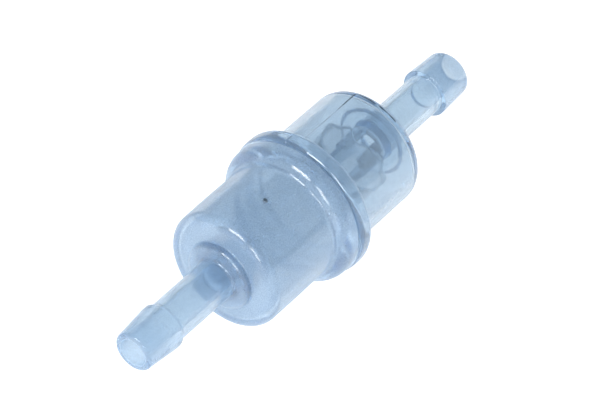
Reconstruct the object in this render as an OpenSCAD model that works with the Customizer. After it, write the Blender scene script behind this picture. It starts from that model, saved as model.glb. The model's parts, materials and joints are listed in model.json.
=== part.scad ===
// In-line fuel filter for a small engine: two moulded halves welded together at a
// pair of rings, with a woven sleeve inside that strains the fuel.
// The fuel flows along +X. The origin is on the flow axis, in the plane of the weld.
// Every outline below is a list of [radius, station] points. A station is a distance
// from the weld plane along the axis, and an outline is turned about that axis.

/* [Canister] */
// Distance from the weld plane to the tip of the inlet barb
inlet_length = 36.35; // [35:0.05:40]
// Distance from the weld plane to the tip of the outlet barb
outlet_length = 37.3; // [35:0.05:40]
// Outside diameter of the canister
body_d = 18.7; // [18:0.1:20]
// Distance from the weld plane to the flat outside of the inlet end wall
inlet_face = 16.95; // [16.5:0.05:17.5]
// Distance from the weld plane to the flat outside of the outlet end wall
outlet_face = 17.75; // [17.5:0.05:18.3]
// Thickness of the moulded side wall
wall = 1.15; // [0.9:0.05:1.4]
// Thickness of the moulded end walls
end_wall = 1.2; // [1:0.05:1.5]
// Outside corner radius of the inlet end
inlet_corner = 1.5; // [1:0.1:2]
// Outside corner radius of the outlet end
outlet_corner = 2; // [1:0.1:2.2]
// Diameter of the raised hub round the foot of each stem
hub_d = 10.7; // [9.6:0.1:11.5]
// Height of the hub above the end wall
hub_height = 1.1; // [1.1:0.05:1.4]

/* [Rings at the weld] */
// Diameter of the inlet half's ring
inlet_ring_d = 22.4; // [22:0.1:22.8]
// Diameter of the outlet half's ring
outlet_ring_d = 23; // [22.8:0.1:24]
// Width of the inlet ring's straight rim
inlet_ring_rim = 1.15; // [0.8:0.05:1.5]
// Width of the outlet ring
outlet_ring_w = 2.8; // [2.4:0.1:3.2]
// Thickness of the melted plastic between the two rings
bead_t = 0.3; // [0.2:0.05:0.4]

/* [Hose barbs] */
// Diameter of the stems that the hoses are pushed on to
stem_d = 6.2; // [5.8:0.1:6.4]
// Diameter of the drilling through each stem
port_d = 4.2; // [3.6:0.1:4.4]
// Diameter of the inlet barb's crest
inlet_crest_d = 7.1; // [6.9:0.1:7.4]
// Diameter of the inlet barb's tip
inlet_tip_d = 6.1; // [5.8:0.1:6.4]
// Diameter of the outlet barb's crest
outlet_crest_d = 7.6; // [7.2:0.1:7.9]
// Diameter of the outlet barb's tip
outlet_tip_d = 7.1; // [6.8:0.1:7.3]
// Distance from the inlet barb's tip to the end of its crest
inlet_barb_l = 6.5; // [5.5:0.1:7.5]
// Distance from the outlet barb's tip to its step
outlet_barb_l = 6.4; // [5.5:0.1:7]
// Width of the straight land on each crest
crest_land = 0.7; // [0.5:0.1:1]

/* [Strainer] */
// Diameter of the woven sleeve where it is widest
sleeve_d = 11.3; // [10.6:0.1:12]
// Thickness of the weave
weave_t = 0.25; // [0.2:0.05:0.3]
// Station of the sleeve's closed end
sleeve_end_station = 12.9; // [12.4:0.1:13.4]
// Diameter of the inlet spigot that the sleeve is pushed over
spigot_d = 7.2; // [6.8:0.1:7.6]
// Length of the spigot inside the inlet half
spigot_l = 4.2; // [3.8:0.1:4.6]
// Wall of the collar that holds the sleeve on the spigot
collar_wall = 0.9; // [0.6:0.1:1.2]
// Length of the collar
collar_l = 2.7; // [2.2:0.1:3.2]

/* [Outlet standpipe] */
// Outside diameter of the slotted standpipe round the outlet port
standpipe_d = 6.2; // [5.8:0.1:6.6]
// Diameter of the bore between the fingers, a little wider than the port
finger_bore_d = 4.6; // [4.5:0.1:4.8]
// Length of the standpipe's fingers
finger_l = 4.95; // [4.6:0.05:5.4]
// Width of the slots between the fingers
slot_w = 2.3; // [1.8:0.1:2.6]
// Number of fingers
finger_count = 4; // [3:1:5]
// Angle of the first finger about the flow axis, from +Y towards +Z
finger_angle = 66.5; // [0:0.5:90]

/* [Gate mark] */
// Distance of the gate mark from the weld plane, on the inlet half
gate_station = 9.3; // [7:0.1:11]
// Angle of the gate mark about the flow axis, from +Y towards +Z
gate_angle = 101; // [0:1:180]
// Diameter of the gate mark
gate_d = 0.9; // [0.6:0.1:1.4]
// Height of the gate mark above the wall
gate_h = 0.25; // [0.1:0.05:0.4]

/* [Hidden] */

$fn = 96;
body_r = body_d / 2;
cavity_r = body_r - wall;
inlet_inner = inlet_face - end_wall;
outlet_inner = outlet_face - end_wall;
hub_r = hub_d / 2;
stem_r = stem_d / 2;
port_r = port_d / 2;
spigot_r = spigot_d / 2;
spigot_end = inlet_inner - spigot_l;
standpipe_r = standpipe_d / 2;
finger_tip = outlet_inner - finger_l;
slot_floor = 0.35;
bore_floor = 0.15;
slot_root = outlet_inner - slot_floor;
bore_root = outlet_inner - bore_floor;
sleeve_r = sleeve_d / 2;
collar_r = spigot_r + weave_t + collar_wall;

edge_round = 0.25;
cavity_corner = 0.7;
hub_foot_round = 0.25;
hub_edge_round = 0.8;
stem_foot_round = 0.5;
tip_round_inlet = 0.3;
tip_round_outlet = 1;
barb_back = 0.7;
ring_shoulder = 2.0;
ring_shoulder_angle = 68;
ring_foot_round = 0.4;
ring_edge_round = 0.8;
tube_chamfer = 0.3;
cut_over = 1;
collar_clearance = 0.2;
flare_start = -12;
flare_end = -4;
flare_steps = 12;
dimple_gap = 0.05;
dimple_foot_r = 3.4;
dimple_rim_r = 4.8;
bead_inner_r = cavity_r - 0.1;
bead_outer_r = inlet_ring_d / 2 - 0.2;
gate_sink = 0.3;

// Points along an arc of radius r about centre c, from angle a0 to angle a1
function arc(c, r, a0, a1, steps = 8) =
    [for (i = [0:steps]) let (a = a0 + (a1 - a0) * i / steps) c + r * [cos(a), sin(a)]];

// Rim of the inlet ring, its rounded shoulder and the hollow at its foot
function inlet_ring(r) =
    let (foot = (r - body_r) / (1 - cos(ring_shoulder_angle)) - ring_shoulder,
         reach = ring_shoulder + foot,
         a = ring_shoulder_angle)
    concat(arc([r - edge_round, bead_t / 2 + edge_round], edge_round, -90, 0, 4),
           arc([r - ring_shoulder, inlet_ring_rim], ring_shoulder, 0, a),
           arc([body_r + foot, inlet_ring_rim + reach * sin(a)], foot, a - 180, -180));

// The outlet ring is a band with two soft edges and a small hollow at its foot
function outlet_ring(r) =
    let (q = ring_edge_round)
    concat(arc([r - q, bead_t / 2 + q], q, -90, 0, 6),
           arc([r - q, outlet_ring_w - q], q, 0, 90, 6),
           arc([body_r + ring_foot_round, outlet_ring_w + ring_foot_round], ring_foot_round,
               -90, -180, 4));

// Outside of the canister's end: corner, end wall, hub and the foot of the stem
function end_outside(face, corner) =
    let (hub_face = face + hub_height)
    concat(arc([body_r - corner, face - corner], corner, 0, 90),
           arc([hub_r + hub_foot_round, face + hub_foot_round], hub_foot_round, -90, -180, 4),
           arc([hub_r - hub_edge_round, hub_face - hub_edge_round], hub_edge_round, 0, 90),
           arc([stem_r + stem_foot_round, hub_face + stem_foot_round], stem_foot_round,
               -90, -180, 4));

// A barb that rises over `back` to its crest, keeps a straight land and tapers to its tip
function barb(tip, crest_r, tip_r, length, back, tip_round) =
    let (crest = tip - length)
    concat([[stem_r, crest - back], [crest_r, crest], [crest_r, crest + crest_land]],
           arc([tip_r - tip_round, tip - tip_round], tip_round, 0, 90, 6), [[port_r, tip]]);

// Inside of a half: the port, a tube that stands in from the end wall, and the cavity
function half_inside(tube_r, tube_end, inner_face) =
    concat([[port_r, tube_end], [tube_r - tube_chamfer, tube_end],
            [tube_r, tube_end + tube_chamfer], [tube_r, inner_face]],
           arc([cavity_r - cavity_corner, inner_face - cavity_corner], cavity_corner, 90, 0, 6),
           [[cavity_r, bead_t / 2]]);

// Turns an outline about the flow axis, with its stations along +X or -X
module turned(points, direction = 1) {
    rotate([0, 90 * direction, 0])
        rotate_extrude()
            polygon(points);
}

// Inlet half: hose barb, canister wall, ring and the spigot for the sleeve
module inlet_housing() {
    color([0.70, 0.81, 0.94]) {
        union() {
            turned(concat(inlet_ring(inlet_ring_d / 2), end_outside(inlet_face, inlet_corner),
                          barb(inlet_length, inlet_crest_d / 2, inlet_tip_d / 2, inlet_barb_l,
                               barb_back, tip_round_inlet),
                          half_inside(spigot_r, spigot_end, inlet_inner)), -1);
            gate_mark();
        }
    }
}

// Stub left where the plastic entered the mould
module gate_mark() {
    rotate([gate_angle - 90, 0, 0])
        translate([-gate_station, 0, body_r - gate_sink])
            cylinder(h = gate_h + gate_sink, d = gate_d);
}

// Outlet half: ring, canister wall, hose barb and the slotted standpipe
module outlet_housing() {
    color([0.68, 0.80, 0.94]) {
        difference() {
            turned(concat(outlet_ring(outlet_ring_d / 2), end_outside(outlet_face, outlet_corner),
                          barb(outlet_length, outlet_crest_d / 2, outlet_tip_d / 2,
                               outlet_barb_l, 0, tip_round_outlet),
                          half_inside(standpipe_r, finger_tip, outlet_inner)));
            for (i = [0:finger_count - 1]) {
                standpipe_slot(finger_angle + (i + 0.5) * 360 / finger_count);
            }
            finger_bore();
        }
    }
}

// One slot in the standpipe, open at the fingers' tips
module standpipe_slot(angle) {
    rotate([angle, 0, 0])
        translate([finger_tip - cut_over, 0, -slot_w / 2])
            cube([slot_root - finger_tip + cut_over, standpipe_r + cut_over, slot_w]);
}

// Widens the standpipe's bore, a little deeper than the slots
module finger_bore() {
    translate([finger_tip - cut_over, 0, 0])
        rotate([0, 90, 0])
            cylinder(h = bore_root - finger_tip + cut_over, d = finger_bore_d);
}

// Plastic melted between the two rings, a little proud inside
module weld_bead() {
    half_t = bead_t / 2;
    color([0.76, 0.86, 0.97])
        turned(concat(arc([bead_outer_r - half_t, 0], half_t, -90, 90, 6),
                      arc([bead_inner_r + half_t, 0], half_t, 90, 270, 6)));
}

// Radius of the sleeve's outside at a station along the flow axis
function sleeve_radius(x) =
    let (mouth = spigot_r + weave_t,
         t = min(1, max(0, (x - flare_start) / (flare_end - flare_start))))
    mouth + (sleeve_r - mouth) * (1 - cos(180 * t)) / 2;

// Woven sleeve: tight on the spigot, then flared to its full width
module filter_sleeve() {
    mouth_x = -inlet_inner + collar_clearance;
    flare = [for (i = [0:flare_steps]) flare_start + (flare_end - flare_start) * i / flare_steps];
    stations = concat([mouth_x], flare, [sleeve_end_station]);
    last = len(stations) - 1;
    color([0.80, 0.86, 0.90])
        turned(concat([for (x = stations) [sleeve_radius(x), x]],
                      [for (i = [last:-1:0]) [sleeve_radius(stations[i]) - weave_t, stations[i]]]));
}

// Woven disc that closes the sleeve, pressed in by the fingers of the standpipe
module sleeve_end() {
    floor_x = finger_tip - dimple_gap;
    rim_x = sleeve_end_station + weave_t;
    color([0.78, 0.84, 0.89])
        turned([[0, floor_x - weave_t], [dimple_foot_r, floor_x - weave_t],
                [dimple_rim_r, sleeve_end_station], [sleeve_r, sleeve_end_station],
                [sleeve_r, rim_x], [dimple_rim_r, rim_x], [dimple_foot_r, floor_x],
                [0, floor_x]]);
}

// Moulded collar that holds the sleeve's open end on the spigot
module sleeve_collar() {
    near = -inlet_inner + collar_clearance;
    far = near + collar_l;
    inner_r = spigot_r + weave_t;
    color([0.72, 0.82, 0.92])
        turned(concat([[inner_r, near]],
                      arc([collar_r - edge_round, near + edge_round], edge_round, -90, 0, 4),
                      arc([collar_r - edge_round, far - edge_round], edge_round, 0, 90, 4),
                      [[inner_r, far]]));
}

inlet_housing();
outlet_housing();
weld_bead();
filter_sleeve();
sleeve_end();
sleeve_collar();
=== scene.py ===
# %% [markdown]
# # A clear in-line fuel filter
# The filter sits in the fuel hose of a small engine. Two clear mouldings are welded
# together at a pair of rings, and a sleeve of woven nylon inside strains the fuel. The
# packed model holds the plain sizes. This lesson makes each piece again as a smooth
# surface that light can pass through, because clear plastic shows every flat facet.

# %% Load the frame
import json
import math

import bpy
import numpy as np
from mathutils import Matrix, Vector


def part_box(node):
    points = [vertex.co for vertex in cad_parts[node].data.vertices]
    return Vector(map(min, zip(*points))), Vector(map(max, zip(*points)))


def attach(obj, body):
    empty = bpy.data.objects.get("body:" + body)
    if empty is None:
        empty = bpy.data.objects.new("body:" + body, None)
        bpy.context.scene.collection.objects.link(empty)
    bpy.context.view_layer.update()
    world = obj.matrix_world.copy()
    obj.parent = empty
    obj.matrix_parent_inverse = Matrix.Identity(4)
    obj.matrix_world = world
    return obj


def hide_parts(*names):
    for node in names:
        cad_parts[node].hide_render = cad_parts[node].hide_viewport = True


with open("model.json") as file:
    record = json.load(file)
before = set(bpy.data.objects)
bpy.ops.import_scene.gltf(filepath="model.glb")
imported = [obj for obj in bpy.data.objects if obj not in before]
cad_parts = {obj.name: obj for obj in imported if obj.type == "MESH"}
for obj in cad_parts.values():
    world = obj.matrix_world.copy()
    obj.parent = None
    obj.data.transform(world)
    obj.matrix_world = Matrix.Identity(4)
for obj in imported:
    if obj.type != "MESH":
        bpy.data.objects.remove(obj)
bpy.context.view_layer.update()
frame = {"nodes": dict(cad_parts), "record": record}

print("nodes:", ", ".join(sorted(frame["nodes"])))

# %% [markdown]
# ## Measures
# Sizes are worked out in millimetres, because that is how a moulder would speak of
# them, and turned into metres only when a mesh is made. The main ones come from the
# packed model: the box of each node and the sizes of the mounts. The flow axis is X, and
# a *station* is the distance from the plane of the weld along that axis.

# %% Read the sizes from the frame
MM = 0.001


def box_mm(node):
    """The lowest and highest corner of a packed node, in millimetres."""
    low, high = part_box(node)
    return np.array(low) / MM, np.array(high) / MM


def mount(name):
    """A mount of the packed record: its station, radius and length, in millimetres."""
    found = next(m for m in frame["record"]["mounts"] if m["name"] == name)
    dims = found["dims"]
    return abs(found["pos_m"][0]) / MM, dims["r_mm"], dims["length_mm"]


inlet_low, inlet_high = box_mm("inlet_housing")
outlet_high = box_mm("outlet_housing")[1]
bead_high = box_mm("weld_bead")[1]
sleeve_low, sleeve_high = box_mm("filter_sleeve")
end_low = box_mm("sleeve_end")[0]
collar_low, collar_high = box_mm("sleeve_collar")

inlet_tip = -inlet_low[0]
outlet_tip = outlet_high[0]
inlet_ring_r = inlet_high[1]
outlet_ring_r = outlet_high[1]
seam = -inlet_high[0]
inlet_crest, inlet_crest_r, crest_land = mount("inlet_barb")
outlet_crest, outlet_crest_r, _ = mount("outlet_barb")
port_r = mount("inlet_port")[1]
canister_r = mount("canister_seat")[1]
spigot_end = inlet_tip - mount("inlet_port")[2]
bore_floor = outlet_tip - mount("outlet_port")[2]
print(f"over the tips {inlet_tip + outlet_tip:.1f} mm, canister {2 * canister_r:.1f} mm, rings "
      f"{2 * inlet_ring_r:.1f} and {2 * outlet_ring_r:.1f} mm")

# %% [markdown]
# The rest are sizes of the mouldings that no mount states, such as how round a corner
# is. A mould maker rounds every edge a little, and those small rounds catch the light.

# %% Sizes of the mouldings
inlet_face = 16.95
outlet_face = 17.75
end_wall = 1.2
wall = 1.15
hub_r = 5.35
hub_height = 1.1
stem_r = 3.1
spigot_r = 3.6
standpipe_r = 3.1
finger_tip = 11.6
finger_bore_r = 2.3
slot_floor = 16.2
finger_angle = 66.5
slot_width = 2.3
finger_count = 4
inlet_corner = 1.5
outlet_corner = 2.0
inlet_tip_r = 3.05
outlet_tip_r = 3.55
ring_rim = 1.15
outlet_ring_width = 2.8
weave = 0.25

cavity_r = canister_r - wall
print(f"cavity {2 * cavity_r:.1f} mm across, {inlet_face + outlet_face - 2 * end_wall:.1f} mm long")

# %% [markdown]
# ## Outlines
# Each moulding is round about the flow axis, so it is an outline turned about X. The
# outline is a short list of corners, and each corner has the radius of its round. The
# rounds could be bevels, but a bevel on a turned mesh is slow and uneven. Here each
# round is worked out as an arc that touches both sides of its corner.

# %% Round the corners of an outline
ARC_STEPS = 6
RUN_LENGTH = 0.55


def rounded(corners):
    """The closed outline through corners of [station, radius, round], as points.

    At a corner P with unit vectors a and b towards its neighbours, and the angle w
    between them, the arc of radius q has its centre at P + (a + b) / |a + b| * q /
    sin(w / 2), and touches the sides at a distance q / tan(w / 2) from P. Between two
    arcs the points close up towards both ends, as (1 - cos) / 2, which keeps the
    shading of a flat wall flat.
    """
    data = np.array(corners, float)
    p, q = data[:, :2], np.maximum(data[:, 2:], 0.02)
    a = np.roll(p, 1, 0) - p
    b = np.roll(p, -1, 0) - p
    a /= np.linalg.norm(a, axis=1, keepdims=True)
    b /= np.linalg.norm(b, axis=1, keepdims=True)
    half = np.arccos(np.clip((a * b).sum(1, keepdims=True), -1, 1)) / 2
    middle = (a + b) / np.linalg.norm(a + b, axis=1, keepdims=True)
    centre = p + middle * q / np.sin(half)
    start = p + a * q / np.tan(half)
    end = p + b * q / np.tan(half)
    sweep = math.pi - 2 * half
    t = np.linspace(0, 1, ARC_STEPS + 1)[None, :, None]
    s = sweep[:, :, None]
    u0, u1 = (start - centre)[:, None], (end - centre)[:, None]
    arcs = centre[:, None] + (np.sin((1 - t) * s) * u0 + np.sin(t * s) * u1) / np.sin(s)
    parts = []
    for arc, here, there in zip(arcs, end, np.roll(start, -1, 0)):
        count = 2 + int(np.linalg.norm(there - here) / RUN_LENGTH)
        run = (1 - np.cos(np.linspace(0, math.pi, count + 1)[1:-1])) / 2
        parts += [arc, here + (there - here) * run[:, None]]
    return np.concatenate(parts)


square = [[0, 1, 0.1], [1, 1, 0.1], [1, 2, 0.1], [0, 2, 0.1]]
print("a rounded square has", len(rounded(square)), "points")

# %% [markdown]
# ## Meshes from grids
# A turned surface is a grid: one way round the axis, the other way along the outline.
# Both ways close on themselves, like a ring doughnut, so the mesh has no open edge.

# %% Put a grid into a mesh
def grid_faces(rows, columns, close_rows, close_columns):
    """Four-cornered faces of a grid whose points are counted along each row in turn."""
    i = np.arange(rows if close_rows else rows - 1)[:, None]
    j = np.arange(columns if close_columns else columns - 1)[None, :]
    down, across = (i + 1) % rows, (j + 1) % columns
    corners = [i * columns + j, down * columns + j, down * columns + across, i * columns + across]
    return np.stack([c + 0 * (i + j) for c in corners], -1).reshape(-1, 4)


def outwards(points, faces):
    """The faces, turned over if the closed surface has a negative volume.

    The volume is a sixth of the sum of a . (b x c) over the triangles.
    """
    a, b, c, d = (points[faces[:, k]] for k in range(4))
    volume = (a * np.cross(b, c)).sum() + (a * np.cross(c, d)).sum()
    return faces if volume > 0 else faces[:, ::-1]


def new_piece(name, points_mm, faces, node=None, triangles=()):
    """A smooth mesh from points in millimetres, riding on the root body."""
    mesh = bpy.data.meshes.new(name)
    mesh.from_pydata((points_mm * MM).tolist(), [], faces.tolist() + list(triangles))
    mesh.polygons.foreach_set("use_smooth", np.ones(len(mesh.polygons), bool))
    mesh.update()
    piece = bpy.data.objects.new(name, mesh)
    bpy.context.scene.collection.objects.link(piece)
    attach(piece, "root")
    if node:
        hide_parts(node)
    print(f"{name}: {len(points_mm)} points, {len(mesh.polygons)} faces")
    return piece


def closed_piece(name, grid, node=None):
    """A piece from a grid of points that closes on itself both ways."""
    points = grid.reshape(-1, 3)
    faces = grid_faces(*grid.shape[:2], True, True)
    return new_piece(name, points, outwards(points, faces), node)


# %% Turn an outline about the flow axis
TURN_STEPS = 240


def turned(outline, angles, other=None, blend=None):
    """Points [x, r cos, r sin] of an outline of [x, r] turned through the angles.

    Where another outline is given, each angle mixes the two by its blend, from 0 to 1.
    """
    shape = np.broadcast_to(outline[None], (len(angles), *outline.shape))
    if other is not None:
        shape = shape + (other - outline)[None] * blend[:, None, None]
    x, r = shape[..., 0], shape[..., 1]
    a = angles[:, None]
    return np.stack([x, r * np.cos(a), r * np.sin(a)], -1)


def uneven(points, size):
    """Moves points in or out by a slow, uneven swell of that size in millimetres.

    The swell is the product and sum of sines of the station and of whole turns, as a
    moulding that cooled unevenly has.
    """
    x, y, z = points[..., 0], points[..., 1], points[..., 2]
    a = np.arctan2(z, y)
    swell = np.sin(0.55 * x + 1.3) * np.cos(2 * a + 0.4) + 0.6 * np.sin(0.9 * x - 2 * a)
    swell = swell + 0.5 * np.cos(3 * a + 0.35 * x + 2.1)
    scale = 1 + size * swell / np.maximum(np.hypot(y, z), 1)
    return np.stack([x, y * scale, z * scale], -1)


def ease(t):
    """Rises from 0 to 1 as t does, level at both ends."""
    t = np.clip(t, 0, 1)
    return t * t * (3 - 2 * t)


round_angles = np.linspace(0, 2 * math.pi, TURN_STEPS, endpoint=False)
print("steps about the axis:", len(round_angles))

# %% [markdown]
# ## The two halves
# Both halves are the same kind of moulding: a ring at the weld, a plain canister wall, an
# end wall with a raised hub, a stem and a barb, and inside a short tube that stands in
# from the end wall. One function lists those corners for both, going out from the weld
# to the tip and back through the port.

# %% Corners that both halves share
def end_corners(face, corner):
    """Canister corner, hub and the foot of the stem, outside."""
    hub_face = face + hub_height
    return [[face, canister_r, corner], [face, hub_r, 0.25], [hub_face, hub_r, 0.75],
            [hub_face, stem_r, 0.5]]


def cavity_corners(tube_r, face):
    """The foot of the tube that stands in from the end wall, and the cavity."""
    inner_face = face - end_wall
    return [[inner_face, tube_r, 0.12], [inner_face, cavity_r, 0.7], [seam, cavity_r, 0.12]]


# %% [markdown]
# The inlet ring has a straight rim, a big round shoulder and a hollow at its foot. The
# shoulder and the foot are rounds on a line that slopes at 68 degrees, chosen so that the
# two arcs meet with nothing straight between them.

# %% The inlet half
shoulder_slope = math.radians(68)
shoulder_round = 2.0
ARC_SHARE = 0.995
BARB_RAMP = 0.7
SWELL = 0.012
rise = inlet_ring_r - canister_r
shoulder = ring_rim + shoulder_round * math.tan(shoulder_slope / 2)
foot = shoulder + rise / math.tan(shoulder_slope)
foot_round = rise / math.sin(shoulder_slope) / math.tan(shoulder_slope / 2) - shoulder_round
barb_foot = inlet_crest - crest_land / 2 - BARB_RAMP

inlet_outline = rounded([
    [seam, inlet_ring_r, 0.25],
    [shoulder, inlet_ring_r, shoulder_round * ARC_SHARE],
    [foot, canister_r, foot_round * ARC_SHARE],
    *end_corners(inlet_face, inlet_corner),
    [barb_foot, stem_r, 0.3],
    [inlet_crest - crest_land / 2, inlet_crest_r, 0.2],
    [inlet_crest + crest_land / 2, inlet_crest_r, 1.0],
    [inlet_tip, inlet_tip_r, 0.45], [inlet_tip, port_r, 0.15],
    [spigot_end, port_r, 0.15], [spigot_end, spigot_r, 0.3],
    *cavity_corners(spigot_r, inlet_face),
])
inlet_points = uneven(turned(inlet_outline * [-1, 1], round_angles), SWELL)
inlet = closed_piece("inlet_shell", inlet_points, "inlet_housing")

# %% [markdown]
# The outlet half's inner tube is cut into four fingers. They keep the cloth from closing
# the port. The slots could be cut with a boolean, but then the surface would be loose
# triangles that bend light unevenly. Instead two outlines are made, one with the long
# tube and one with the tube cut down to its root, and each angle uses one or the other.
# Where the mould's two sides met, a fine ridge runs along the outside of this half.

# %% The outlet half with its slotted tube
SLOT_EDGE = 0.05
LEFT_OVER = 0.01
CLEARANCE = 0.1
RIDGE_HALF = 0.007
RIDGE_H = 0.05

outlet_outline = rounded([
    [seam, outlet_ring_r, 0.8], [outlet_ring_width, outlet_ring_r, 0.8],
    [outlet_ring_width, canister_r, 0.4], *end_corners(outlet_face, outlet_corner),
    [outlet_crest - crest_land / 2, stem_r, 0.12],
    [outlet_crest - crest_land / 2, outlet_crest_r, 0.12],
    [outlet_crest + crest_land / 2, outlet_crest_r, 1.5],
    [outlet_tip, outlet_tip_r, 1.0], [outlet_tip, port_r, 0.15],
    [bore_floor, port_r, 0.04], [bore_floor, finger_bore_r, 0.04],
    [finger_tip, finger_bore_r, 0.1], [finger_tip, standpipe_r, 0.3],
    *cavity_corners(standpipe_r, outlet_face),
])
in_fingers = outlet_outline[:, 1] > port_r + 0.03
in_fingers &= outlet_outline[:, 1] < standpipe_r + CLEARANCE
in_fingers &= outlet_outline[:, 0] < slot_floor
cut_outline = outlet_outline.copy()
cut_outline[in_fingers, 0] = slot_floor + (outlet_outline[in_fingers, 0] - slot_floor) * LEFT_OVER

slot_half = math.asin(slot_width / 2 / standpipe_r)
pitch = 2 * math.pi / finger_count
edges = math.radians(finger_angle) + pitch * (np.arange(finger_count)[:, None] + 0.5)
edges = edges + np.array([-slot_half, slot_half])
fine = np.linspace(-1.5, 1.5, 9) * SLOT_EDGE
parting = np.radians([79.5, 259.5])
ridge = parting[:, None] + np.linspace(-1, 1, 9) * 2.5 * RIDGE_HALF
outlet_angles = np.unique(np.mod(np.concatenate(
    [round_angles, (edges[..., None] + fine).ravel(), ridge.ravel()]), 2 * math.pi).round(6))
from_middle = np.abs(np.mod(outlet_angles - math.radians(finger_angle), pitch) - pitch / 2)
cut = ease((slot_half - from_middle) / SLOT_EDGE / 2 + 0.5)

outlet_points = turned(outlet_outline, outlet_angles, cut_outline, cut)
off_parting = np.sin(outlet_angles - parting[0]) / RIDGE_HALF
outside = np.hypot(outlet_points[..., 1], outlet_points[..., 2]) > canister_r - 0.02
bump = 1 + RIDGE_H / canister_r * np.exp(-off_parting ** 2)[:, None] * outside
outlet_points[..., 1:] *= bump[..., None]
outlet_points = uneven(outlet_points, SWELL)
outlet = closed_piece("outlet_shell", outlet_points, "outlet_housing")
print(f"fingers {slot_floor - finger_tip:.2f} mm longer than the slot's floor")

# %% [markdown]
# ## The weld
# Where the rings are pressed together and spun, their plastic melts and runs into a thin
# bead. It fills the gap between the rings and stands a little proud of the inside.

# %% The bead of the weld
bead_half = bead_high[0]
bead_outer_r = bead_high[1]
bead_inner_r = cavity_r - 0.1
bead_outline = rounded([[-bead_half, bead_inner_r, bead_half * 0.9],
                        [-bead_half, bead_outer_r, bead_half * 0.9],
                        [bead_half, bead_outer_r, bead_half * 0.9],
                        [bead_half, bead_inner_r, bead_half * 0.9]])
bead = closed_piece("weld_ring", turned(bead_outline, round_angles), "weld_bead")

# %% [markdown]
# ## The gate mark
# Plastic enters the mould through a small gate, and when the part is broken off it leaves
# a stub on the wall. It is a low dome with a torn pit in its middle.

# %% The gate mark on the inlet half
gate_station = -9.3
gate_angle = math.radians(101)
GATE_R = 0.45
GATE_H = 0.25
GATE_ROOT = -0.12

gate_outline = rounded([[GATE_ROOT, 0.02, 0.01], [GATE_ROOT, GATE_R, 0.05],
                        [GATE_H, GATE_R * 0.75, 0.12], [GATE_H * 0.9, GATE_R * 0.35, 0.05],
                        [GATE_H * 0.45, 0.02, 0.01]])
gate_turn = np.linspace(0, 2 * math.pi, 32, endpoint=False)
local = turned(gate_outline, gate_turn)
up = np.array([0, math.cos(gate_angle), math.sin(gate_angle)])
side = np.array([0, -math.sin(gate_angle), math.cos(gate_angle)])
along = np.array([1.0, 0, 0])
gate_points = (along * gate_station + up * canister_r + local[..., :1] * up
               + local[..., 1:2] * along + local[..., 2:] * side)
gate = closed_piece("gate_mark", gate_points)

# %% [markdown]
# ## The woven sleeve
# The sleeve is a flat piece of fine nylon mesh, rolled into a tube, sealed along one line
# and pushed over the spigot. The tube is as wide everywhere when flat, so it is gathered
# where the collar squeezes it, and it puckers where the disc closes its end. Both sets of
# folds are sums of waves round the tube that fade along it.

# %% Shape of the sleeve
SLEEVE_STEPS = 216
SLEEVE_ROWS = 130
mouth_r = spigot_r + weave / 2
full_r = sleeve_high[1] - weave / 2
flare_start, flare_end = -12.0, -4.0
TUCK_ANGLE = math.radians(108)


def sleeve_radius(x):
    """Radius of the middle of the cloth: the mouth's, then an eased flare to full width."""
    return mouth_r + (full_r - mouth_r) * ease((x - flare_start) / (flare_end - flare_start))


def folds(x, a):
    """How far the cloth stands in or out, in millimetres, at station x and angle a.

    Gathers fade away from the collar, puckers grow towards the closed end, and a slow
    slack lies between them.
    """
    gathers = np.exp(-np.abs(x - flare_start - 0.8) / 2.2) * np.cos(15 * a + 0.8 * np.sin(3 * a))
    near_end = ease((x - 7.5) / (sleeve_high[0] - 7.5))
    puckers = 0.6 * np.cos(7 * a + 1.1 * np.sin(2 * a) + 0.3) + 0.45 * np.cos(11 * a + 2.0)
    slack = np.cos(2 * a + 0.32 * x + 0.7) + 0.5 * np.cos(3 * a - 0.5 * x)
    free = ease((x - flare_start + 1) / 3)
    return 0.13 * gathers * free + 0.3 * near_end * puckers + 0.09 * slack * free


def rim_station(a):
    """Station of the sealed rim at angle a: puckers, and one deep tuck as a bell curve."""
    puckers = 0.22 * np.cos(7 * a + 1.5) + 0.14 * np.cos(4 * a + 0.5)
    tuck = np.exp(-(np.mod(a - TUCK_ANGLE + math.pi, 2 * math.pi) - math.pi) ** 2 / 0.09)
    return sleeve_high[0] - 0.14 + puckers - 1.5 * tuck


cloth_angles = np.linspace(0, 2 * math.pi, SLEEVE_STEPS, endpoint=False)
a = cloth_angles[:, None]
t = np.linspace(0, 1, SLEEVE_ROWS)[None, :]
x = sleeve_low[0] + t * (rim_station(a) - sleeve_low[0])
r = sleeve_radius(x) + folds(x, a)
sleeve_points = np.stack([x, r * np.cos(a), r * np.sin(a)], -1).reshape(-1, 3)
sleeve_faces = grid_faces(SLEEVE_STEPS, SLEEVE_ROWS, True, False)[:, ::-1]
sleeve = new_piece("mesh_sleeve", sleeve_points, sleeve_faces, "filter_sleeve")

# %% [markdown]
# A weave has to follow the cloth, so the sleeve carries its own UV map. One unit is one
# millimetre of flat cloth: across is the distance round the tube, and up is the distance
# along it. The disc's map is its flat plan.

# %% A UV map in millimetres of flat cloth
def cloth_map(piece, across, along_cloth):
    """Writes a UV map from one pair of values a point, which each face corner takes."""
    mesh = piece.data
    index = np.zeros(len(mesh.loops), np.int32)
    mesh.loops.foreach_get("vertex_index", index)
    layer = mesh.uv_layers.new(name="cloth")
    values = np.stack([across[index], along_cloth[index]], -1)
    layer.data.foreach_set("uv", values.astype(np.float32).ravel())
    return index, values, layer


tube_round = 2 * math.pi * full_r
across = np.broadcast_to(a / (2 * math.pi) * tube_round, x.shape).ravel()
index, values, layer = cloth_map(sleeve, across, x.ravel())
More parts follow.
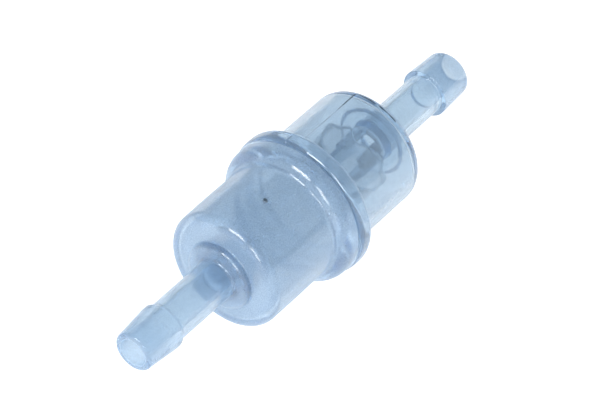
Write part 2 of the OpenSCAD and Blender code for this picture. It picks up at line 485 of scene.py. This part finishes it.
# The last strip of faces runs from the end of the map back to its start.
last_strip = sleeve_faces.max(1) >= (SLEEVE_STEPS - 1) * SLEEVE_ROWS
wraps = (index < SLEEVE_ROWS) & np.repeat(last_strip, 4)
values[wraps, 0] += tube_round
layer.data.foreach_set("uv", values.astype(np.float32).ravel())
print(f"flat cloth of the sleeve: {tube_round:.1f} by {np.ptp(x):.1f} mm")

# %% [markdown]
# The closing disc is cut from the same cloth. The fingers press its middle in, so it has a
# round dimple, and its rim follows the puckered end of the sleeve and stands just outside
# it as a sealed lip.

# %% The disc that closes the sleeve
DISC_RINGS = 48
LIP = 0.18
disc_floor = end_low[0] + weave / 2
share = (np.arange(1, DISC_RINGS + 1) / DISC_RINGS)[None, :]
rim_x = rim_station(a)
rim_r = sleeve_radius(rim_x) + folds(rim_x, a) + LIP
disc_r = share * rim_r
pressed = 1 - ease((disc_r - 3.3) / 1.5)
crease = 0.14 * np.cos(7 * a + 1.5) * ease((disc_r - 2.6) / 2.5)
disc_x = (rim_x + 0.1) * (1 - pressed) + disc_floor * pressed + crease * (1 - share)
disc_points = np.stack([disc_x, disc_r * np.cos(a), disc_r * np.sin(a)], -1).reshape(-1, 3)
disc_points = np.concatenate([disc_points, [[disc_floor, 0, 0]]])
disc_faces = grid_faces(SLEEVE_STEPS, DISC_RINGS, True, False)
first = np.arange(SLEEVE_STEPS) * DISC_RINGS
fan = np.stack([np.full(SLEEVE_STEPS, len(disc_points) - 1), first, np.roll(first, -1)], -1)
disc = new_piece("sleeve_disc", disc_points, disc_faces[:, ::-1], "sleeve_end",
                 fan.tolist())
cloth_map(disc, disc_points[:, 1], disc_points[:, 2])
print("disc rim radius:", round(float(rim_r.min()), 2), "to", round(float(rim_r.max()), 2), "mm")

# %% [markdown]
# ## The collar
# A moulded collar squeezes the sleeve's open end on to the spigot.

# %% The collar on the spigot
collar_inner = spigot_r + weave
collar_outer = collar_high[1]
collar_outline = rounded([[collar_low[0], collar_inner, 0.08],
                          [collar_low[0], collar_outer, 0.25],
                          [collar_high[0], collar_outer, 0.25],
                          [collar_high[0], collar_inner, 0.2]])
collar = closed_piece("clamp_collar", turned(collar_outline, round_angles[::2]),
                      "sleeve_collar")

# %% [markdown]
# ## Thickness of the cloth
# Both pieces of cloth are single surfaces so far. Solidify gives them the thickness of the
# mesh.

# %% Give the cloth its thickness
CLOTH = 0.16

for piece in (sleeve, disc):
    thick = piece.modifiers.new("cloth thickness", "SOLIDIFY")
    thick.thickness = CLOTH * MM
    thick.offset = 0

# %% [markdown]
# ## Writing materials as sums
# A material is a tree of nodes, and shader maths reads best as Python sums. The class
# wraps one socket. Arithmetic on it adds Math nodes, and `node` adds any other node.

# %% A socket that can be added and multiplied
class Wire:
    """One output socket of a node tree, or the bare tree when there is no socket yet."""

    def __init__(self, tree, socket=None):
        self.tree, self.socket = tree, socket

    def node(self, kind, settings=None, inputs=None, output=0):
        """Adds a node: settings first, then the values or links of its sockets."""
        made = self.tree.nodes.new("ShaderNode" + kind)
        for key, value in (settings or {}).items():
            if key == "stops":
                ramp = made.color_ramp
                while len(ramp.elements) < len(value):
                    ramp.elements.new(0.5)
                for element, (place, colour) in zip(ramp.elements, value):
                    element.position = place
                    element.color = (*colour, 1)
            else:
                setattr(made, key, value)
        for key, value in (inputs or {}).items():
            if isinstance(value, Wire):
                self.tree.links.new(value.socket, made.inputs[key])
            else:
                made.inputs[key].default_value = value
        return Wire(self.tree, made.outputs[output] if len(made.outputs) else None)

    def maths(self, operation, *values):
        return self.node("Math", {"operation": operation}, dict(enumerate(values)))

    def __add__(self, other):
        return self.maths("ADD", self, other)

    def __sub__(self, other):
        return self.maths("SUBTRACT", self, other)

    def __mul__(self, other):
        return self.maths("MULTIPLY", self, other)

    def __rsub__(self, other):
        return self.maths("SUBTRACT", other, self)

    def __pow__(self, other):
        return self.maths("POWER", self, other)

    __radd__, __rmul__ = __add__, __mul__

    def clamp(self):
        return self.node("Clamp", inputs={0: self})

    def sine(self):
        return self.maths("SINE", self)

    def size(self):
        return self.maths("ABSOLUTE", self)

    def above(self, start, slope):
        """0 up to the start in millimetres, then rising to 1 by the slope a millimetre."""
        return ((self - start * MM) * (slope / MM)).clamp()

    def below(self, end, slope):
        """0 past the end in millimetres, and rising to 1 before it by that slope."""
        return ((end * MM - self) * (slope / MM)).clamp()


def material(name):
    """An empty material, and a Wire on its bare tree."""
    made = bpy.data.materials.new(name)
    made.use_nodes = True
    made.node_tree.nodes.clear()
    return made, Wire(made.node_tree)


def finish_material(tree, shader):
    """Joins a shader to the surface of the material."""
    tree.node("OutputMaterial", inputs={"Surface": shader})


print("a Wire can also", ", ".join(n for n in vars(Wire) if not n.startswith("_")))

# %% [markdown]
# ## Where the plastic is one
# The weld makes one body of the rings and the bead, so light crosses from one to the other
# without bending. The faces that touch there are marked with a number that the material
# reads, and it lets light straight through where the number is 1. A second number marks
# where shade is painted on as a dark colour: the fingers, more on one side than the
# other, and the pit of the gate.

# %% Mark the faces inside the weld, and those with painted shade
TOUCH = 0.004
# Painted shade: where and how much the fingers and the gate's pit are darkened.
PAINTED_SHADE_ANGLE = math.radians(150)
PAINTED_SHADE_STARTS = 8
PIT_R = 0.3
PIT_PAINTED_SHADE = 2.0

for piece in (inlet, outlet, bead, gate):
    faces = np.zeros(len(piece.data.polygons) * 3, np.float32)
    piece.data.polygons.foreach_get("center", faces)
    centre = faces.reshape(-1, 3) / MM
    reach = np.hypot(centre[:, 1], centre[:, 2])
    fused = np.abs(np.abs(centre[:, 0]) - seam) < TOUCH
    fused &= (reach > bead_inner_r + bead_half) & (reach < bead_outer_r - bead_half)
    mark = piece.data.attributes.new("fused", "FLOAT", "FACE")
    mark.data.foreach_set("value", fused.astype(np.float32))
    print(piece.name, "has", int(fused.sum()), "faces inside the weld")
    stained = np.zeros(len(reach))
    # Painted shade on the fingers, strongest at one angle round the axis.
    if piece == outlet:
        turn = np.arctan2(centre[:, 2], centre[:, 1])
        stained = ease((slot_floor + 0.3 - centre[:, 0]) / 0.4) * ease(centre[:, 0] - PAINTED_SHADE_STARTS)
        stained *= reach < standpipe_r + CLEARANCE
        stained *= (0.5 + 0.5 * np.cos(turn - PAINTED_SHADE_ANGLE)) ** 3
    # Painted shade in the gate's pit, darker than on the fingers.
    if piece == gate:
        off_gate = np.hypot(centre[:, 0] - gate_station, centre @ side)
        stained = PIT_PAINTED_SHADE * (off_gate < PIT_R)
    mark = piece.data.attributes.new("stained", "FLOAT", "FACE")
    mark.data.foreach_set("value", stained.astype(np.float32))

# %% [markdown]
# ## Clear plastic
# The halves are nylon with a blue cast, a little cloudy. Three things make its look. Plastic
# takes off red light along the way, so a thick ring is deeper in colour than a wall, and
# Volume Absorption does that. Its surface bends light and blurs it a little, with a clear
# coat for the sharp glints. And fine crystals in it scatter light, so part of the surface
# is a soft shader that glows with whatever falls on it, from either side. The mould leaves
# a slow ripple, dull places and a fine grain, all from noise. The ports are cloudier near
# the tips. Painted shade on the fingers and the gate's pit, and two fine dark lines, are a
# dark shader mixed in over the rest.

# %% Material of the clear halves
CLEAR_TINT = (0.84, 0.925, 0.985)
CLOUD_TINT = (0.60, 0.74, 0.89)
# Dark colour for the painted shade on the fingers and the gate's pit, and for the two fine lines.
SHADE_AND_LINE_DARK = (0.035, 0.055, 0.07)
INSERT_STATION = 16.4
INSERT_ANGLE = math.radians(103)
INSERT_SIDE = 8.5
INSERT_HALF = 0.12 / 0.7
PARTING_HALF = 0.12
PARTING_SIDE = 8.9
PARTING_STARTS = 11.5
STEM_STARTS = 17.8
MOUTH_STARTS = 30.5
BORE_LIMIT = 2.3
LIGHT_LEFT = (0.36, 0.64, 0.86)
DENSITY = 105
COAT_ROUGH = 0.07
RIM_CLOUD = 0.55
MOUTH_CLOUD = 0.5
DULL_CLOUD = 0.14
GRAIN_CLOUD = 0.3
# How strongly the painted shade darkens the marked faces.
PAINTED_SHADE_SHARE = 0.34


def fine_line(off, half, sharpness):
    """1 along a line, and 0 from half its width, given in millimetres, away from it."""
    return ((1 - off * (1 / half / MM)) * sharpness).clamp()


def no_lines(tree, place, x, y, z):
    """A moulding with no dark fine lines."""
    return 0.0


def outlet_lines(tree, place, x, y, z):
    """Two fine dark lines: where the mould's end insert met it, and where it parted.

    The first is a band at one station, on one side of the filter. The second is a band
    about the plane through the axis at the parting angle, near the end of the canister.
    """
    ring = fine_line((x - INSERT_STATION * MM).size(), INSERT_HALF, 3)
    facing = y * math.cos(INSERT_ANGLE) + z * math.sin(INSERT_ANGLE)
    ring = ring * facing.above(INSERT_SIDE, 6)
    off = (y * math.sin(parting[0]) - z * math.cos(parting[0])).size()
    seam_line = fine_line(off, PARTING_HALF, 2.5) * z.above(PARTING_SIDE, 8)
    seam_line = seam_line * x.above(PARTING_STARTS, 0.5) * x.below(INSERT_STATION, 9)
    patchy = tree.node("TexNoise", inputs={"Vector": place, "Scale": 900, "Detail": 2.0})
    return (ring + seam_line) * ((patchy - 0.36) * 8).clamp()


def clear_plastic(name, rough, ripple, cloudy, stem_cloudy, density=DENSITY, lines=no_lines):
    """Blue moulded plastic: clear and cloudy shaders mixed, absorption inside."""
    made, tree = material(name)
    place = tree.node("TexCoord", output="Object")
    parts = tree.node("SeparateXYZ", inputs={0: place})
    x, y, z = (Wire(tree.tree, parts.socket.node.outputs[k]) for k in "XYZ")
    slow = tree.node("TexNoise", inputs={"Vector": place, "Scale": 260, "Detail": 2.0})
    fine_grain = tree.node("TexNoise", inputs={"Vector": place, "Scale": 2600, "Detail": 3.0})
    dull = tree.node("TexNoise", inputs={"Vector": place, "Scale": 420, "Detail": 4.0})
    grain = tree.node("TexNoise", inputs={"Vector": place, "Scale": 5200, "Detail": 1.0})
    roughness = (rough + 0.10 * (dull - 0.5) + 0.02 * fine_grain).clamp()
    height = slow + 0.06 * fine_grain
    normal = tree.node("Bump", inputs={"Strength": 1.0, "Distance": ripple, "Height": height})
    colour = tree.node("Mix", {"data_type": "RGBA"},
                       {"Factor": slow, 6: (*CLEAR_TINT, 1),
                        7: (*(c * 0.97 for c in CLEAR_TINT), 1)}, output=2)
    clear = tree.node("BsdfPrincipled", inputs={
        "Base Color": colour, "Roughness": roughness, "IOR": 1.45,
        "Transmission Weight": 1.0, "Coat Weight": 1.0, "Coat Roughness": COAT_ROUGH,
        "Normal": normal})
    soft = tree.node("MixShader", inputs={
        0: 0.5, 1: tree.node("BsdfDiffuse", inputs={"Color": (*CLOUD_TINT, 1)}),
        2: tree.node("BsdfTranslucent", inputs={"Color": (*CLOUD_TINT, 1)})})
    aslant = tree.node("LayerWeight", inputs={"Blend": 0.5}, output="Facing")
    on_stem = x.size().above(STEM_STARTS, 1.5)
    in_bore = ((y * y + z * z) ** 0.5).below(BORE_LIMIT, 20)
    in_mouth = x.size().above(MOUTH_STARTS, 0.18) * in_bore
    cloud = cloudy + (stem_cloudy - cloudy) * on_stem + MOUTH_CLOUD * in_mouth
    cloud = cloud + DULL_CLOUD * (dull - 0.5) + GRAIN_CLOUD * (grain - 0.5)
    cloud = (cloud + RIM_CLOUD * aslant ** 3).clamp()
    shell = tree.node("MixShader", inputs={0: cloud, 1: clear, 2: soft})
    # Painted shade on the fingers and the gate's pit, plus the two fine dark lines, mixes in a dark
    # shader.
    stained = tree.node("Attribute", {"attribute_name": "stained"}, output="Fac")
    shade_and_lines = (PAINTED_SHADE_SHARE * stained + lines(tree, place, x, y, z)).clamp()
    shell = tree.node("MixShader", inputs={
        0: shade_and_lines, 1: shell, 2: tree.node("BsdfDiffuse", inputs={"Color": (*SHADE_AND_LINE_DARK, 1)})})
    fused = tree.node("Attribute", {"attribute_name": "fused"}, output="Fac")
    surface = tree.node("MixShader", inputs={0: fused, 1: shell, 2: tree.node("BsdfTransparent")})
    inside = tree.node("VolumeAbsorption", inputs={"Color": (*LIGHT_LEFT, 1), "Density": density})
    tree.node("OutputMaterial", inputs={"Surface": surface, "Volume": inside})
    return made


inlet_clear = clear_plastic("cloudy_blue_nylon", 0.09, 0.00005, 0.34, 0.22)
outlet_clear = clear_plastic("clear_blue_nylon", 0.06, 0.00005, 0.17, 0.14, lines=outlet_lines)
melted = clear_plastic("melted_nylon", 0.2, 0.00012, 0.26, 0.26)
for piece, plastic in ((inlet, inlet_clear), (outlet, outlet_clear), (gate, inlet_clear),
                       (bead, melted)):
    piece.data.materials.append(plastic)
    print(piece.name, "is", plastic.name)

# %% [markdown]
# ## Woven nylon
# The mesh is plain weave: threads cross over and under each other with square holes
# between. The holes are in the Alpha socket, and the threads are bright, soft and a little
# see-through. Near the sealed seam and rim the cloth is melted flat, so the holes close.

# %% Material of the woven sleeve
THREAD_PITCH = 0.26


def woven(name, seal, thread):
    """Plain weave from two rows of round threads; `seal` gives where the cloth is melted."""
    made, tree = material(name)
    parts = tree.node("SeparateXYZ", inputs={0: tree.node("UVMap", {"uv_map": "cloth"})})
    u, v = (Wire(tree.tree, parts.socket.node.outputs[k]) for k in "XY")
    turn = math.pi / THREAD_PITCH
    place = tree.node("TexCoord", output="Object")
    drift = tree.node("TexNoise", inputs={"Vector": place, "Scale": 900, "Detail": 2.0})
    thread_u = (u * turn + drift * 0.6).sine().size()
    thread_v = (v * turn + drift * 0.6).sine().size()
    hole = ((thread_u - 0.55) * 3).clamp() * ((thread_v - 0.55) * 3).clamp()
    cover = 1 - hole
    melted_here = seal(tree, u, v)
    patch = tree.node("TexNoise", inputs={"Vector": place, "Scale": 330, "Detail": 3.0})
    alpha = (0.04 + thread * cover + 0.5 * thread * patch + 0.40 * melted_here).clamp()
    height = (1 - thread_u) + (1 - thread_v)
    normal = tree.node("Bump", inputs={"Strength": 0.5, "Distance": 0.00004, "Height": height})
    colour = tree.node("Mix", {"data_type": "RGBA"},
                       {"Factor": patch, 6: (0.80, 0.90, 0.97, 1), 7: (0.90, 0.96, 1.0, 1)},
                       output=2)
    shader = tree.node("BsdfPrincipled", inputs={
        "Base Color": colour, "Roughness": 0.55 - 0.25 * melted_here, "IOR": 1.5,
        "Alpha": alpha, "Normal": normal})
    finish_material(tree, shader)
    return made


SEAM_ACROSS = tube_round * 0.7
SEAM_HALF = 0.55


def sleeve_seal(tree, u, v):
    """The lapped seam along the tube and the rim at its closed end."""
    lap = (1 - (u - SEAM_ACROSS).size() * (1 / SEAM_HALF)).clamp()
    rim = ((v - (sleeve_high[0] - 0.7)) * 2.2).clamp()
    return (lap * 3 + rim).clamp()


def disc_seal(tree, u, v):
    """The rim of the disc, from its distance to the middle."""
    out = (u * u + v * v) ** 0.5
    return ((out - (full_r - 0.5)) * 2.5).clamp()


for piece, name, seal, thread in ((sleeve, "woven_sleeve", sleeve_seal, 0.14),
                                  (disc, "woven_disc", disc_seal, 0.06)):
    piece.data.materials.append(woven(name, seal, thread))
    print(piece.name, "is", name)

# %% [markdown]
# ## Milky collar
# The collar is the same nylon with a rougher surface and less blue, so it looks milky.

# %% Material of the collar
milky = clear_plastic("milky_nylon", 0.3, 0.0001, 0.2, 0.2, 40)
collar.data.materials.append(milky)
print(collar.name, "is", milky.name)

# %% [markdown]
# ## The stage
# Clear plastic shows what is around it, so the stage matters as much as the material. A
# white table that glows gives the bright inside of the walls, a room that is light low
# down and darker above gives the dark edges, and two soft boxes give the highlights.

# %% The table
made, tree = material("white_table")
glow = tree.node("Emission", inputs={"Color": (1, 1, 1, 1), "Strength": 1.0})
paper = tree.node("BsdfDiffuse", inputs={"Color": (0.4, 0.4, 0.4, 1)})
finish_material(tree, tree.node("AddShader", inputs={0: glow, 1: paper}))
bpy.ops.mesh.primitive_plane_add(size=6, location=(0, 0, -outlet_ring_r * MM))
table = bpy.context.object
table.name = "table"
table.data.materials.append(made)

# %% The room and the soft boxes
WALLS, CEILING = 0.80, 0.32
world = bpy.data.worlds.new("room")
bpy.context.scene.world = world
world.use_nodes = True
world.node_tree.nodes.clear()
room = Wire(world.node_tree)
height = room.node("SeparateXYZ", inputs={0: room.node("TexCoord")}, output=2)
walls = 1 - ((height - 0.35) * 2.2).clamp()
tone = CEILING + (WALLS - CEILING) * walls
room.node("OutputWorld", inputs={"Surface": room.node("Background", inputs={
    "Color": (0.84, 0.91, 0.95, 1), "Strength": tone})})


def soft_box(name, direction, distance, size, power):
    """A rectangular light of that size, at a distance along a direction, facing the filter."""
    light = bpy.data.lights.new(name, "AREA")
    light.shape = "RECTANGLE"
    light.size, light.size_y = size
    light.energy = power
    lamp = bpy.data.objects.new(name, light)
    way = Vector(direction).normalized()
    lamp.location = way * distance
    lamp.rotation_mode = "QUATERNION"
    lamp.rotation_quaternion = way.to_track_quat("Z", "Y")
    bpy.context.scene.collection.objects.link(lamp)
    print(f"{name}: {power} W from {tuple(round(c, 2) for c in way)}")
    return lamp


soft_box("left_box", (-0.85, -0.40, 0.34), 0.6, (0.14, 0.26), 1.0)
soft_box("key_box", (-0.77, 0.06, 0.63), 0.6, (0.26, 0.20), 2.0)

# %% [markdown]
# ## The camera
# The camera looks down at 42.5 degrees from the inlet end, with a long lens, so the flow
# axis runs from the lower left to the upper right of the picture.

# %% Place the camera
VIEW_WIDTH = 84.507042
SENSOR_WIDTH = 36
AIM_RIGHT, AIM_UP = 0.61, 1.14
azimuth, elevation = math.radians(-52.7), math.radians(42.5)
focal_length = 225
camera_data = bpy.data.cameras.new("camera")
camera_data.lens = focal_length
camera_data.sensor_width = SENSOR_WIDTH
camera_data.clip_start, camera_data.clip_end = 0.01, 50
camera = bpy.data.objects.new("camera", camera_data)
bpy.context.scene.collection.objects.link(camera)
bpy.context.scene.camera = camera
back = Vector((math.sin(azimuth) * math.cos(elevation),
               -math.cos(azimuth) * math.cos(elevation), math.sin(elevation)))
distance = focal_length / SENSOR_WIDTH * VIEW_WIDTH * MM
camera.rotation_mode = "QUATERNION"
camera.rotation_quaternion = back.to_track_quat("Z", "Y")
right = camera.rotation_quaternion @ Vector((1, 0, 0))
upward = camera.rotation_quaternion @ Vector((0, 1, 0))
aim = (right * AIM_RIGHT + upward * AIM_UP) * MM
camera.location = aim + back * distance
print(f"camera {distance * 1000:.0f} mm away")

# %% [markdown]
# ## Render settings
# Light crosses many surfaces on its way through two walls and a sleeve, so it is allowed
# more bounces than usual. The plain view transform keeps the white of the table white.

# %% Bounces and colour
scene = bpy.context.scene
BOUNCES = 32
scene.cycles.max_bounces = BOUNCES
scene.cycles.transmission_bounces = BOUNCES
scene.cycles.transparent_max_bounces = BOUNCES
scene.cycles.glossy_bounces = 8
scene.view_settings.view_transform = "Standard"
